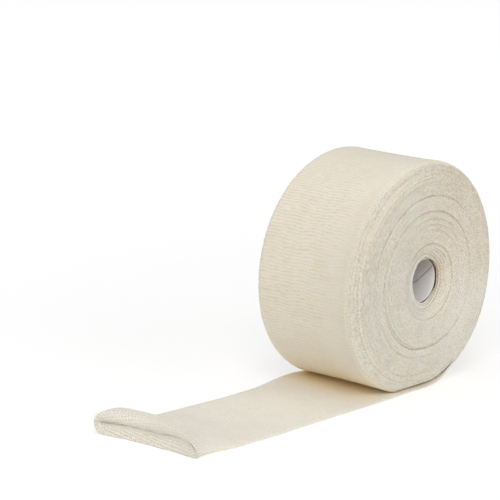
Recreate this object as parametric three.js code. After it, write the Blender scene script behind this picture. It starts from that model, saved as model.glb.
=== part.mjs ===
// A roll of knitted tubular gauze bandage: the flattened tube of cloth is wound on a card core,
// and its loose end runs out from under the roll and lies with its mouth a little open.
// Millimetres, +Z up. The origin is on the surface, straight below the middle of the roll.
// X runs along the roll's axis, and the loose end runs towards -Y.

import * as THREE from 'three';

// The roll: the flattened tube is as wide as the roll is long.
const CLOTH_WIDTH = 60;
const ROLL_RADIUS = 57.2;
const ROLL_CENTRE_Z = 55.9;

// A soft roll isn't round. Each row adds a wave to its radius, counted from the top towards +Y.
const OUT_OF_ROUND = [
  { waves: 2, cosine: 0.23, sine: 0.69 },
  { waves: 3, cosine: 0.31, sine: 0.24 },
  { waves: 4, cosine: -0.29, sine: 0 },
];

// The card core, which has sunk a little below the roll's middle.
const CORE_INNER_RADIUS = 10.9;
const CORE_WALL = 0.9;
const CORE_LENGTH = 54;
const CORE_CENTRE_Y = 1.4;
const CORE_CENTRE_Z = 54.3;

// Gap kept between touching pieces.
const CLEARANCE = 0.3;

// The roll's end faces from the bore out to the rim: how far the cloth's edges stand from the
// middle of the roll at +X (near) and at -X (far). The wound turns have slid along each other, so
// the near face is crowned and the far one is dished. The first turns dip to the core.
const END_FACE = [
  { radius: 12.1, near: 26.5, far: 28.0 },
  { radius: 13.2, near: 27.8, far: 28.3 },
  { radius: 16.5, near: 30.8, far: 28.2 },
  { radius: 19.2, near: 32.2, far: 28.0 },
  { radius: 20.2, near: 32.7, far: 27.9 },
  { radius: 33.2, near: 32.1, far: 28.3 },
  { radius: 34.3, near: 31.3, far: 28.4 },
  { radius: 35.4, near: 31.9, far: 28.5 },
  { radius: 40.9, near: 32.6, far: 28.6 },
  { radius: 42.1, near: 31.9, far: 28.7 },
  { radius: 50.4, near: 31.0, far: 29.3 },
  { radius: 51.6, near: 30.3, far: 29.6 },
];
const RIM_RADIUS = 4;
const RIM_OUT = 29.5;
const RIM_STEPS = 4;
const ROLL_WAIST = 0.3;

// The loose end: the last turn leaves the roll low at its back and lies flat under it. Angles
// are in degrees from the roll's top towards +Y.
const SHEET_THICKNESS = 1.4;
const LET_IN_FROM = 148.5;
const LET_IN_BY = 150;
const LAST_TURN_FROM = 151;
const LAST_TURN_TO = 165;
const ROLL_BOTTOM = 180;
const TURN_ROWS = 4;

// The loose end along the surface, one row for each section across the tube.
// far and near are the creases at its two sides. top and low are the middles of its upper and
// lower layer, as y and z. gaps are half the tube's height beside the far and near crease.
const LOOSE_END = [
  { far: [-30.0, 9, 0.7], near: [30.2, 9, 0.7], top: [9, 1.4], low: [9, 0], gaps: [0.7, 0.7] },
  { far: [-30.2, -10, 0.7], near: [30.6, -10, 0.7], top: [-10, 1.4], low: [-10, 0], gaps: [0.7, 0.7] },
  { far: [-30.6, -32, 1.6], near: [30.7, -32, 0.7], top: [-32, 1.4], low: [-32, 0], gaps: [0.7, 0.7] },
  { far: [-29.0, -55, 0.9], near: [30.2, -55, 0.7], top: [-55, 1.4], low: [-55, 0], gaps: [0.7, 0.7] },
  { far: [-28.8, -84, 0.8], near: [29.6, -84, 0.7], top: [-84, 1.5], low: [-84, 0], gaps: [0.7, 0.7] },
  { far: [-30.4, -106, 1.0], near: [29.5, -106, 0.8], top: [-106, 1.5], low: [-106, 0], gaps: [0.8, 0.7] },
  { far: [-30.2, -120, 1.6], near: [29, -120, 0.9], top: [-118, 2.1], low: [-120, 0], gaps: [0.9, 0.8] },
];

// The mouth: the tube swells, its two lips curl outwards, and the slit between them runs back
// into the tube. The lips' rims are the rows named crest and nose, and the rows after them are
// the mouth's inside. It stands open at the far crease and is nearly shut at the near one.
const MOUTH = [
  { far: [-30.8, -132, 2], near: [28.2, -134, 1], top: [-128, 3.7], low: [-132, 0], gaps: [1.4, 0.9] },
  { far: [-32.6, -144, 5], near: [25.4, -147, 1.2], top: [-135.5, 5.8], low: [-145, 0], gaps: [4.3, 1] },
  // crest
  { far: [-34.8, -154.5, 6.2], near: [26.2, -155, 1.4], top: [-141.5, 7], low: [-153.5, -1], gaps: [7.6, 1.2] },
  // nose
  { far: [-34.8, -161.5, 5.6], near: [27.6, -157, 1.2], top: [-146, 6.5], low: [-156.8, 0.2], gaps: [7.4, 0.9] },
  { far: [-33.6, -161, 5.3], near: [25.4, -156, 1.8], top: [-150, 5.6], low: [-156, 3], gaps: [5.4, 0.5] },
  { far: [-32.2, -157, 5.3], near: [23.2, -154, 2.3], top: [-152, 4.9], low: [-152.6, 3.6], gaps: [5, 0.4] },
  { far: [-30.8, -149, 5.3], near: [21, -147, 1.9], top: [-147, 4.1], low: [-147, 2.8], gaps: [4.8, 0.4] },
  { far: [-28.4, -141, 3.7], near: [20, -140, 1.7], top: [-140, 3.2], low: [-140, 1.9], gaps: [2.6, 0.4] },
  { far: [-25.6, -132, 2], near: [18, -132, 1.4], top: [-132, 2.3], low: [-132, 1.5], gaps: [0.5, 0.3] },
];

// Facets.
const ROLL_SEGMENTS = 84;
const CORE_SEGMENTS = 48;
const LAYER_STEPS = 18;
const CREASE_POWER = 8;
const RINGS_PER_ROW = 3;

const COLOURS = { gauze: 0xe9e2cf, looseGauze: 0xece6d6, card: 0xc9ad84 };

const radians = THREE.MathUtils.degToRad;

// The assembly's outline round the roll's middle, flat where it lies on the surface.
function outlineRadius(degrees, floor) {
  let radius = ROLL_RADIUS;
  for (const { waves, cosine, sine } of OUT_OF_ROUND) {
    radius += cosine * Math.cos(waves * radians(degrees)) + sine * Math.sin(waves * radians(degrees));
  }
  const down = -Math.cos(radians(degrees));
  return down > 0 ? Math.min(radius, (ROLL_CENTRE_Z - floor) / down) : radius;
}

// The roll's own outline: it is let in by a turn where the last turn has already left it.
function rollRadius(degrees) {
  const letIn = SHEET_THICKNESS + CLEARANCE;
  const radius = outlineRadius(degrees, letIn);
  if (degrees <= LET_IN_FROM || degrees > ROLL_BOTTOM) {
    return radius;
  }
  const share = Math.min((degrees - LET_IN_FROM) / (LET_IN_BY - LET_IN_FROM), 1);
  return Math.min(radius, outlineRadius(degrees, 0) - letIn * share);
}

// Joins rings of equally many points into one closed skin. The last ring either meets the first
// one again or, with caps, both are closed by a fan.
function closedSkin(rings, { caps }) {
  const count = rings[0].length;
  const points = rings.flat();
  const triangles = [];
  const lastBand = caps ? rings.length - 1 : rings.length;
  for (let band = 0; band < lastBand; band += 1) {
    const here = band * count;
    const next = ((band + 1) % rings.length) * count;
    for (let k = 0; k < count; k += 1) {
      const after = (k + 1) % count;
      triangles.push([here + k, here + after, next + after], [here + k, next + after, next + k]);
    }
  }
  if (caps) {
    const lastStart = points.length - count;
    for (const [ring, start, flipped] of [[rings[0], 0, true], [rings.at(-1), lastStart, false]]) {
      const middle = points.length;
      const centre = new THREE.Vector3();
      ring.forEach((point) => centre.addScaledVector(point, 1 / count));
      points.push(centre);
      for (let k = 0; k < count; k += 1) {
        const edge = [start + k, start + ((k + 1) % count)];
        triangles.push(flipped ? [middle, edge[1], edge[0]] : [middle, edge[0], edge[1]]);
      }
    }
  }
  return outwardGeometry(points, triangles);
}

// A geometry with its faces pointing out, whichever way the rings were walked.
function outwardGeometry(points, triangles) {
  const cross = new THREE.Vector3();
  let volume = 0;
  for (const [a, b, c] of triangles) {
    volume += points[a].dot(cross.crossVectors(points[b], points[c]));
  }
  const index = triangles.flatMap(([a, b, c]) => (volume > 0 ? [a, b, c] : [a, c, b]));
  const geometry = new THREE.BufferGeometry().setFromPoints(points);
  geometry.setIndex(index);
  geometry.computeVertexNormals();
  return geometry;
}

// Half of the roll's section: out along one end face and round its rim.
function halfSection(end) {
  const half = END_FACE.map((row) => [row.radius, row[end]]);
  for (let step = 0; step <= RIM_STEPS; step += 1) {
    const turn = (step / RIM_STEPS) * (Math.PI / 2);
    const radius = ROLL_RADIUS - RIM_RADIUS * (1 - Math.sin(turn));
    half.push([radius, RIM_OUT - RIM_RADIUS * (1 - Math.cos(turn))]);
  }
  return half;
}

// The closed section of the roll's cloth: out along one face, across the outside, and back.
function rollSection() {
  const farHalf = halfSection('far').map(([radius, out]) => [radius, -out]).reverse();
  return [...halfSection('near'), [ROLL_RADIUS - ROLL_WAIST, 0], ...farHalf];
}

function woundRollGeometry() {
  const bore = END_FACE[0].radius;
  const section = rollSection();
  const angles = [LET_IN_FROM, LET_IN_BY];
  for (let k = 0; k < ROLL_SEGMENTS; k += 1) {
    angles.push((k * 360) / ROLL_SEGMENTS);
  }
  angles.sort((a, b) => a - b);
  const rings = angles.map((degrees) => {
    const swell = rollRadius(degrees) - ROLL_RADIUS;
    return section.map(([radius, x]) => {
      const outwards = Math.max(0, (radius - bore) / (ROLL_RADIUS - bore));
      const grown = radius + swell * outwards * outwards;
      const y = CORE_CENTRE_Y * (1 - outwards) + grown * Math.sin(radians(degrees));
      const centreZ = THREE.MathUtils.lerp(CORE_CENTRE_Z, ROLL_CENTRE_Z, Math.min(outwards, 1));
      const z = centreZ + grown * Math.cos(radians(degrees));
      return new THREE.Vector3(x, y, Math.max(z, SHEET_THICKNESS + CLEARANCE));
    });
  });
  return closedSkin(rings, { caps: false });
}

function coreTubeGeometry() {
  const outer = CORE_INNER_RADIUS + CORE_WALL;
  const half = CORE_LENGTH / 2;
  const section = [
    new THREE.Vector2(CORE_INNER_RADIUS, -half),
    new THREE.Vector2(outer, -half),
    new THREE.Vector2(outer, half),
    new THREE.Vector2(CORE_INNER_RADIUS, half),
    new THREE.Vector2(CORE_INNER_RADIUS, -half),
  ];
  return new THREE.LatheGeometry(section, CORE_SEGMENTS).rotateZ(-Math.PI / 2);
}

// The rows of the last turn from where it leaves the roll's back down to the surface.
function lastTurnRows() {
  const rows = [];
  for (let k = 0; k <= TURN_ROWS; k += 1) {
    const degrees = THREE.MathUtils.lerp(LAST_TURN_FROM, LAST_TURN_TO, k / TURN_ROWS);
    const onOutline = (depth) => {
      const radius = outlineRadius(degrees, 0) - depth;
      return [radius * Math.sin(radians(degrees)), ROLL_CENTRE_Z + radius * Math.cos(radians(degrees))];
    };
    const [low, middle, top] = [0, SHEET_THICKNESS / 2, SHEET_THICKNESS].map(onOutline);
    const gap = top[1] - middle[1];
    const half = CLOTH_WIDTH / 2;
    rows.push({ far: [-half, ...middle], near: [half, ...middle], top, low, gaps: [gap, gap] });
  }
  return rows;
}

// One closed ring round the flattened tube. across runs from the near crease at 1 to the far one
// at -1. Each layer follows the line between the creases, bulges by a parabola to its middle,
// and keeps its full gap until it rounds over close to the crease.
function tubeRing({ far, near, top, low, gaps }) {
  const farPoint = new THREE.Vector3(...far);
  const nearPoint = new THREE.Vector3(...near);
  const middle = farPoint.clone().lerp(nearPoint, 0.5);
  const point = (across, layer) => {
    const target = layer > 0 ? top : low;
    const place = farPoint.clone().lerp(nearPoint, (across + 1) / 2);
    const parabola = 1 - across * across;
    const rounded = Math.sqrt(1 - Math.abs(across) ** CREASE_POWER);
    const gap = THREE.MathUtils.lerp(...gaps, (across + 1) / 2);
    place.y += (target[0] - middle.y) * parabola;
    place.z += (target[1] - middle.z) * parabola + layer * gap * (rounded - parabola);
    return place;
  };
  const ring = [];
  for (let k = 0; k < LAYER_STEPS; k += 1) {
    ring.push(point(Math.cos((Math.PI * k) / LAYER_STEPS), 1));
  }
  for (let k = LAYER_STEPS; k > 0; k -= 1) {
    ring.push(point(Math.cos((Math.PI * k) / LAYER_STEPS), -1));
  }
  return ring;
}

// Passes a smooth curve through each point of the rings and returns rings along those curves.
function smoothRings(rings, perRow) {
  const steps = (rings.length - 1) * perRow;
  const curves = rings[0].map((_, k) => {
    return new THREE.CatmullRomCurve3(rings.map((ring) => ring[k]), false, 'centripetal');
  });
  const smooth = [];
  for (let step = 0; step <= steps; step += 1) {
    smooth.push(curves.map((curve) => curve.getPoint(step / steps)));
  }
  return smooth;
}

function looseEndGeometry() {
  const rows = [...lastTurnRows(), ...LOOSE_END, ...MOUTH];
  const rings = smoothRings(rows.map(tubeRing), RINGS_PER_ROW);
  for (const point of rings.flat()) {
    point.z = Math.max(point.z, 0);
  }
  return closedSkin(rings, { caps: true });
}

function cloth(colour) {
  return new THREE.MeshStandardMaterial({ color: colour, roughness: 0.95, metalness: 0 });
}

function woundRoll() {
  const mesh = new THREE.Mesh(woundRollGeometry(), cloth(COLOURS.gauze));
  mesh.name = 'wound_roll';
  return mesh;
}

function coreTube() {
  const material = new THREE.MeshStandardMaterial({ color: COLOURS.card, roughness: 0.85, metalness: 0 });
  const mesh = new THREE.Mesh(coreTubeGeometry(), material);
  mesh.name = 'core_tube';
  mesh.position.set(0, CORE_CENTRE_Y, CORE_CENTRE_Z);
  return mesh;
}

function looseEnd() {
  const mesh = new THREE.Mesh(looseEndGeometry(), cloth(COLOURS.looseGauze));
  mesh.name = 'loose_end';
  return mesh;
}

const group = new THREE.Group();
group.add(woundRoll(), coreTube(), looseEnd());

export default group;
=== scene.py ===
# A roll of knitted tubular gauze bandage on a card core. Its loose end runs out from under the
# roll over a pale table, and its cut mouth curls open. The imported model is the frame.
# Sizes are in millimetres: +Z is up, X runs along the roll's axis, and the loose end runs to -Y.
# Angles round the roll are in degrees from its top to +Y. Of its two ends, the near one is at +X.

import math

import bpy
import numpy as np
from mathutils import Matrix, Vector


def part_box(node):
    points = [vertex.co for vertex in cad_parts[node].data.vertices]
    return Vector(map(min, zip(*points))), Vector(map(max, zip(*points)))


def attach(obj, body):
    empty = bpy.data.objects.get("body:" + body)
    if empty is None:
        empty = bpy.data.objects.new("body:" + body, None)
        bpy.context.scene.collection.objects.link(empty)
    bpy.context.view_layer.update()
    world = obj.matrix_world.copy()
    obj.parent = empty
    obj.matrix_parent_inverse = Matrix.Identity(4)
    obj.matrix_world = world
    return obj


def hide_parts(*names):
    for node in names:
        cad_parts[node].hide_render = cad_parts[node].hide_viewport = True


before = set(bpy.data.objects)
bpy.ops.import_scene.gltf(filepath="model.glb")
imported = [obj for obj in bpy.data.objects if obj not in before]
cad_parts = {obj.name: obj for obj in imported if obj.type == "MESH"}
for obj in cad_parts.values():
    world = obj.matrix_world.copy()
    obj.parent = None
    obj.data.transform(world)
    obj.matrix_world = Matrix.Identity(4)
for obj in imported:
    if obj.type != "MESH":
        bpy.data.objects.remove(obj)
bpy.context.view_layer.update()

MM = 0.001

# The roll, as the frame has it. OUT_OF_ROUND has a wave count, its cosine and its sine.
ROLL_RADIUS = 57.2
ROLL_CENTRE_Z = 55.9
OUT_OF_ROUND = [(2, 0.23, 0.69), (3, 0.31, 0.24), (4, -0.29, 0.0)]
CLOTH_WIDTH = 60.0
ROLL_WAIST = 0.3

# The rims are rounded, and between them the roll's outside is straight.
RIM_RADIUS = 4.0
RIM_OUT = 29.5
STRAIGHT_HALF = RIM_OUT - RIM_RADIUS

# The card core, as the frame's own tube has it.
CORE_LOW, CORE_HIGH = (np.array(corner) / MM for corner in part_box("core_tube"))
CORE_Y, CORE_Z = ((CORE_LOW + CORE_HIGH) / 2)[1:]
CORE_HALF = CORE_HIGH[0]
CORE_OUTER = (CORE_HIGH[1] - CORE_LOW[1]) / 2
CORE_WALL = 0.9
CORE_INNER = CORE_OUTER - CORE_WALL
BORE_RADIUS = 12.1

# The last turn leaves the roll low at its back, and the roll stands on it.
LAST_TURN_FROM = 151.0
LAST_TURN_TO = 165.0
SHEET_THICKNESS = 1.4
ROLL_FLOOR = 1.45

# The winding and the knit. A rib is one course of the knit across the tube, a wale one column of
# its stitches. On the lips the stitches are drawn apart into slanting rows of beads.
TURN_PITCH = 0.49
ROLL_RIBS = 206
RIB_PITCH = 2 * math.pi * ROLL_RADIUS / ROLL_RIBS
RIB_STEPS = 6
RIB_HEIGHT = 0.16
WALE_PITCH = 1.1
BEAD_PITCH = 1.18
BEAD_SLANT = 0.78

# The end faces from the bore out: how far from the roll's middle the turns' edges stand. The
# near face is crowned, because its turns have slid along each other.
FACE_RADIUS = [12.1, 13.2, 16.5, 19.2, 20.2, 33.2, 34.3, 35.4, 40.9, 42.1, 50.4, 51.6, 53.2]
NEAR_OUT = [26.5, 27.8, 30.8, 32.2, 32.6, 32.3, 31.7, 32.1, 32.3, 31.8, 31.0, 30.3, 29.5]
FAR_OUT = [28.0, 28.3, 28.2, 28.0, 27.9, 28.3, 28.4, 28.5, 28.6, 28.7, 29.3, 29.6, 29.5]
FACE_EDGE = ROLL_RADIUS - 1.1

# Each turn seen on edge is a groove and the two shoulders of its fold. Single turns and groups
# of them stand out unevenly, and so do the loops of the knit.
GROOVE_AND_SHOULDERS = [-0.14, 0.0, 0.02]
ROWS_PER_TURN = len(GROOVE_AND_SHOULDERS)
TURNS_PER_GROUP = 4
TURN_SPREAD = 0.05
GROUP_SPREAD = 0.02
STIPPLE = 0.08
SWAY = 0.10

# The near face's innermost turns have slid out on the side towards -Y: how much further they
# stand at the first four radii, and the angle where they stand furthest.
LIP_OUT = [3.8, 3.0, 0.9, 0.0]
LIP_ANGLE = -100.0

# The innermost turns bulge in over the card's end, but for a gap: its middle angle, half its
# width, and the width over which it closes.
OVER_CARD = 1.5
CARD_GAP, CARD_GAP_HALF, CARD_GAP_CLOSES = 80.0, 24.0, 44.0

# The ridges that the innermost turns make round the bore: their pitch, height, and how far out.
RIDGE_PITCH = 1.12
RIDGE_HEIGHT = 0.34
RIDGES_TO = 20.5

# Deeper rings in the near face: radius, width, depth, and the middle and half of the span of
# angles in which each shows. The far face takes a few of them.
FACE_RINGS = [
    (18.9, 0.36, 0.5, 30, 220),
    (18.9, 0.36, 0.85, -5, 75),
    (34.2, 0.3, 0.62, 70, 230),
    (33.1, 0.36, 0.35, -150, 70),
    (41.4, 0.3, 0.6, 20, 100),
    (46.4, 0.3, 0.22, -10, 45),
    (51.0, 0.3, 0.25, 20, 75),
    (51.6, 0.3, 0.35, -125, 70),
    (48.4, 0.3, 0.3, -140, 60),
    (38.6, 0.36, 0.35, -150, 60),
    (30.6, 0.36, 0.25, 30, 60),
    (28.0, 0.36, 0.25, 20, 60),
    (25.4, 0.36, 0.28, 15, 60),
    (37.0, 0.26, 0.12, -60, 70),
    (39.3, 0.26, 0.14, -75, 80),
    (43.6, 0.26, 0.16, -50, 75),
    (45.4, 0.26, 0.14, -110, 80),
    (47.2, 0.26, 0.16, -45, 60),
    (49.6, 0.26, 0.18, -70, 90),
    (53.0, 0.26, 0.2, -20, 80),
]
FAR_RINGS = FACE_RINGS[2:7]
RING_FADE = 30.0

# A nick in the near face: its radius, angle and depth.
NICK_RADIUS, NICK_ANGLE, NICK_DEPTH = 47.3, 10.6, 0.5

# The outer turn follows the rims' round for RIM_REACH degrees. From there its folded edges tuck
# in behind the other turns': x, radius, and how much of the ribs' height they take.
RIM_REACH = 50.0
EDGE_FOLD = [(-0.9, -1.5, 0.0), (-0.1, -1.0, 0.2), (0.28, -0.42, 0.6)]

# The ribs of the outer turn wander in patches: how far, in ribs, the size of a patch along the
# roll in mm and round it in ribs, and its seed.
RIB_WANDER = [(0.42, 7.5, 7.0, 17), (0.20, 3.4, 2.3, 11), (0.12, 1.9, 1.3, 12)]


def ease(value):
    """A smooth step: 0 below 0, 1 above 1, and 3v^2 - 2v^3 between them."""
    value = np.clip(value, 0, 1)
    return value * value * (3 - 2 * value)


def bell(distance, width):
    """A bell curve, e to the power of -(distance / width)^2: 1 at 0 and 0.37 at width."""
    return np.exp(-((distance / width) ** 2))


def rib(phase):
    """A rounded rib: half of 1 - cos, so 0 in the grooves at whole phases and 1 between them."""
    return 0.5 - 0.5 * np.cos(2 * math.pi * phase)


def angle_from(middle, degrees):
    """The angle from middle to degrees the shorter way round, from -180 to 180."""
    return (degrees - middle + 180) % 360 - 180


def wander(degrees, other, seed):
    """Smooth unevenness round a closed ring, near -1 to 1: cosines with whole wave counts in the
    angle, whose phases turn with other, fading as 1 over the root of the count."""
    waves = 7
    rng = np.random.default_rng(seed)
    total = np.zeros(np.broadcast(degrees, other).shape)
    for count in range(1, waves + 1):
        turn, drift = rng.uniform(0, 2 * math.pi), rng.normal(0, 0.6)
        total += np.cos(count * np.radians(degrees) + turn + drift * other) / math.sqrt(count)
    return total / math.sqrt(waves) * 1.3


def patches(u, v, cell_u, cell_v, seed):
    """Smooth random patches, near -1 to 1: values on a grid of cells, eased between. The grid
    comes round again after 64 cells each way."""
    cells = 64
    table = np.random.default_rng(seed).uniform(-1, 1, (cells, cells))
    a, b = u / cell_u, v / cell_v
    i, j = np.floor(a).astype(int), np.floor(b).astype(int)
    p, q = ease(a - i), ease(b - j)
    i, j, after_i, after_j = i % cells, j % cells, (i + 1) % cells, (j + 1) % cells
    low = table[i, j] * (1 - p) + table[after_i, j] * p
    high = table[i, after_j] * (1 - p) + table[after_i, after_j] * p
    return low * (1 - q) + high * q


def outline_radius(degrees, floor):
    """The roll's outline: its nominal radius plus its waves, cut off flat at the height floor."""
    turn = np.radians(degrees)
    radius = ROLL_RADIUS + np.zeros_like(turn)
    for waves, cosine, sine in OUT_OF_ROUND:
        radius = radius + cosine * np.cos(waves * turn) + sine * np.sin(waves * turn)
    down = np.maximum(-np.cos(turn), 1e-6)
    return np.minimum(radius, (ROLL_CENTRE_Z - floor) / down)


def roll_radius(degrees):
    """The roll's own outline: let in by one thickness of the loose end where that has left it,
    eased over 2 degrees."""
    wrapped = angle_from(0, degrees)
    radius = outline_radius(wrapped, ROLL_FLOOR)
    share = ease((wrapped - LAST_TURN_FROM) / 2)
    let_in = outline_radius(wrapped, 0) - ROLL_FLOOR * share
    return np.where(wrapped > LAST_TURN_FROM, np.minimum(radius, let_in), radius)


def on_roll(degrees, radius, x):
    """A point of the wound cloth. Its ring is centred on the core near the bore and on the roll
    at the rim, and takes up more of the roll's out of round the further out it lies."""
    outwards = np.maximum(0, (radius - BORE_RADIUS) / (ROLL_RADIUS - BORE_RADIUS))
    grown = radius + (roll_radius(degrees) - ROLL_RADIUS) * outwards**2
    turn = np.radians(degrees)
    inner = np.maximum(1 - outwards, 0)
    y = CORE_Y * inner + grown * np.sin(turn)
    z = CORE_Z * inner + ROLL_CENTRE_Z * (1 - inner) + grown * np.cos(turn)
    return np.stack(np.broadcast_arrays(x, y, np.maximum(z, ROLL_FLOOR)), -1)


def unit(vectors):
    """The vectors at the length 1."""
    return vectors / np.maximum(np.linalg.norm(vectors, axis=-1, keepdims=True), 1e-9)


def tube_normals(points):
    """Normals of the loose end's grid of points, out of the tube: the cross product of the
    directions round it and along it, at the length 1."""
    around = np.roll(points, -1, 1) - np.roll(points, 1, 1)
    return unit(np.cross(around, np.gradient(points, axis=0)))


def grid_faces(rows, cols, close_rows):
    """The four corners of each cell of a grid whose columns close, as row and column numbers.
    They run one past the end where the grid closes."""
    r, c = np.meshgrid(np.arange(rows if close_rows else rows - 1), np.arange(cols), indexing="ij")
    corner_rows = np.stack([r, r, r + 1, r + 1], -1).reshape(-1, 4)
    corner_cols = np.stack([c, c + 1, c + 1, c], -1).reshape(-1, 4)
    return corner_rows, corner_cols


def put_in_scene(name, data):
    """A new object of the scene, with data as its mesh, camera or light."""
    obj = bpy.data.objects.new(name, data)
    bpy.context.scene.collection.objects.link(obj)
    return obj


def piece(name, points, faces, cloth, material, traits=None):
    """A mesh from points in mm, four-cornered faces, and each corner's place on the cloth in mm.
    A closed mesh is turned so that its faces point out, by the sign of its volume. traits has
    named numbers for each point, which its material reads."""
    a, b, c, d = (points[faces[:, k]] for k in range(4))
    volume = np.einsum("ij,ij->", a, np.cross(b, c) + np.cross(c, d))
    if volume < 0:
        faces, cloth = faces[:, ::-1], cloth[:, ::-1]
    mesh = bpy.data.meshes.new(name)
    mesh.from_pydata(points * MM, [], faces)
    layer = mesh.uv_layers.new(name="cloth")
    layer.data.foreach_set("uv", np.array(cloth, np.float32).ravel())
    mesh.polygons.foreach_set("use_smooth", np.ones(len(faces), dtype=bool))
    for trait, values in (traits or {}).items():
        layer = mesh.attributes.new(trait, "FLOAT", "POINT")
        layer.data.foreach_set("value", np.array(values, np.float32).ravel())
    mesh.materials.append(material)
    mesh.update()
    obj = put_in_scene(name, mesh)
    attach(obj, "root")
    return obj


def grid_piece(name, points, cloth, material, traits=None, zip_ends=False):
    """A piece from a grid of points whose columns close. cloth has each point's place on the
    cloth, with one more column, and one more row where the rows close too. With zip_ends they
    don't: the two end rings of the flattened tube are shut, each point to the one across."""
    rows, cols = points.shape[:2]
    corner_rows, corner_cols = grid_faces(rows, cols, not zip_ends)
    faces = (corner_rows % rows) * cols + corner_cols % cols
    places = cloth[corner_rows, corner_cols]
    if zip_ends:
        k = np.arange(cols // 2 - 1)
        ring = np.stack([k, k + 1, cols - 2 - k, cols - 1 - k], -1)
        last = (rows - 1) * cols
        faces = np.concatenate([faces, ring[:, ::-1], ring + last])
        places = np.concatenate([places, cloth[0, ring[:, ::-1]], cloth[rows - 1, ring]])
    return piece(name, points.reshape(-1, 3), faces, places, material, traits)


def face_profile(radius, out_table):
    """How far out the turn's edge at each radius stands: the table inside the rim, and the rim's
    quarter round outside it."""
    rim_from = ROLL_RADIUS - RIM_RADIUS
    past = np.clip(radius - rim_from, 0, RIM_RADIUS)
    rim = STRAIGHT_HALF + np.sqrt(RIM_RADIUS**2 - past**2)
    return np.where(radius > rim_from, rim, np.interp(radius, FACE_RADIUS, out_table))


def turn_relief(radius, which, degrees, seed):
    """How far out the turns' edges stand, how much shade is painted in the grooves between them,
    and how far in the funnel each row lies. Turns stand in or out one by one and in groups, and
    more so at some angles. In the funnel they make ridges, plainest on the side towards +Y, where
    painted shade darkens them most near the bore."""
    rng = np.random.default_rng(seed)
    turns = which[-1] + 1
    groups = np.arange(0, turns + 2 * TURNS_PER_GROUP, TURNS_PER_GROUP)
    single = rng.normal(0, TURN_SPREAD, turns)
    stand = single + np.interp(np.arange(turns), groups, rng.normal(0, GROUP_SPREAD, len(groups)))
    stand = stand[which][:, None] * (0.85 + 0.3 * wander(degrees, which[:, None] / 9.0, seed + 1))

    part = np.arange(len(radius)) % ROWS_PER_TURN
    shoulder = np.array(GROOVE_AND_SHOULDERS)[part][:, None]
    stipple = rng.normal(0, STIPPLE, (len(radius), len(degrees))) * (part > 0)[:, None]

    out_from_bore = radius[:, None] - BORE_RADIUS
    funnel = ease((RIDGES_TO - radius) / 4)[:, None]
    to_right = rib(degrees / 360 + 0.25)
    winding = 1.6 * wander(degrees, radius[:, None] / 5, seed + 5)
    ridge = np.cos(out_from_bore * 2 * math.pi / RIDGE_PITCH + winding)
    relief = shoulder * (1 + funnel) + stand * (1 + 1.5 * funnel) + stipple
    relief = relief + RIDGE_HEIGHT * ridge * funnel * (0.35 + 0.65 * to_right)

    # Painted shade in the funnel's grooves, more on the side towards +Y and near the bore, and a broad
    # painted shade beside the bore on that side.
    near_bore = bell(out_from_bore, 2.2)
    crevice_shade = ease(-ridge) * funnel * (0.15 + 0.45 * to_right) * (0.35 + 0.65 * near_bore)
    crevice_shade = crevice_shade + 0.4 * to_right**2 * near_bore**2
    return relief, crevice_shade, funnel


def cut_rings(relief, crevice_shade, radius, degrees, rings):
    """relief and the painted crevice shade with the deeper grooves of rings, each a bell curve
    across, uneven round the face, and fading at both ends of its span. Each groove gets painted
    shade as deep as it is cut."""
    for ring_radius, width, depth, middle, half in rings:
        shows = ease((half - np.abs(angle_from(middle, degrees))) / RING_FADE)
        uneven = 0.75 + 0.25 * wander(degrees, 0, int(ring_radius * 10))
        groove = depth * shows * uneven * bell(radius[:, None] - ring_radius, width)
        relief = relief - groove
        crevice_shade = np.maximum(crevice_shade, groove)
    return relief, crevice_shade


def slid_out(radius, degrees):
    """How much further the near face's innermost turns stand: the table at the lip's own angle,
    falling to nothing across from it by the power 1.2 of half of 1 + cos."""
    towards = 0.5 + 0.5 * np.cos(np.radians(degrees - LIP_ANGLE))
    return np.interp(radius, FACE_RADIUS[:4], LIP_OUT)[:, None] * towards**1.2


def turn_places(index, which, behind):
    """Each point's place on the cloth of an end face: across the turns, and along the cloth by
    the spiral's own length from the bore. The rows behind the face repeat its last one."""
    start = 2 * math.pi * (BORE_RADIUS * which + TURN_PITCH * which**2 / 2)
    around = (BORE_RADIUS + TURN_PITCH * which)[:, None] * np.radians(np.arange(361.0))
    along = start[:, None] + around
    across = np.broadcast_to((index / ROWS_PER_TURN * TURN_PITCH)[:, None], along.shape)
    cloth = np.stack([across, along], -1)
    return np.concatenate([cloth, np.repeat(cloth[-1:], behind, axis=0)])


def cover_card(x, r, crevice_shade, radius, degrees):
    """x, r and the painted crevice shade with the innermost turns drawn in over the card's end.
    Where they leave it bare, the slot beside it gets painted shadow, as 2."""
    from_gap = np.abs(angle_from(CARD_GAP, degrees))
    covered = ease((from_gap - CARD_GAP_HALF) / CARD_GAP_CLOSES)
    over_card = covered * bell(radius[:, None] - BORE_RADIUS, 0.8)
    x = x + over_card * np.maximum(CORE_HALF + 0.2 - x, 0)
    in_slot = ease((BORE_RADIUS + 0.42 - radius) / 0.3)[:, None]
    return x, r - OVER_CARD * over_card, np.maximum(crevice_shade, 2 * (1 - covered) * in_slot)


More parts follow.
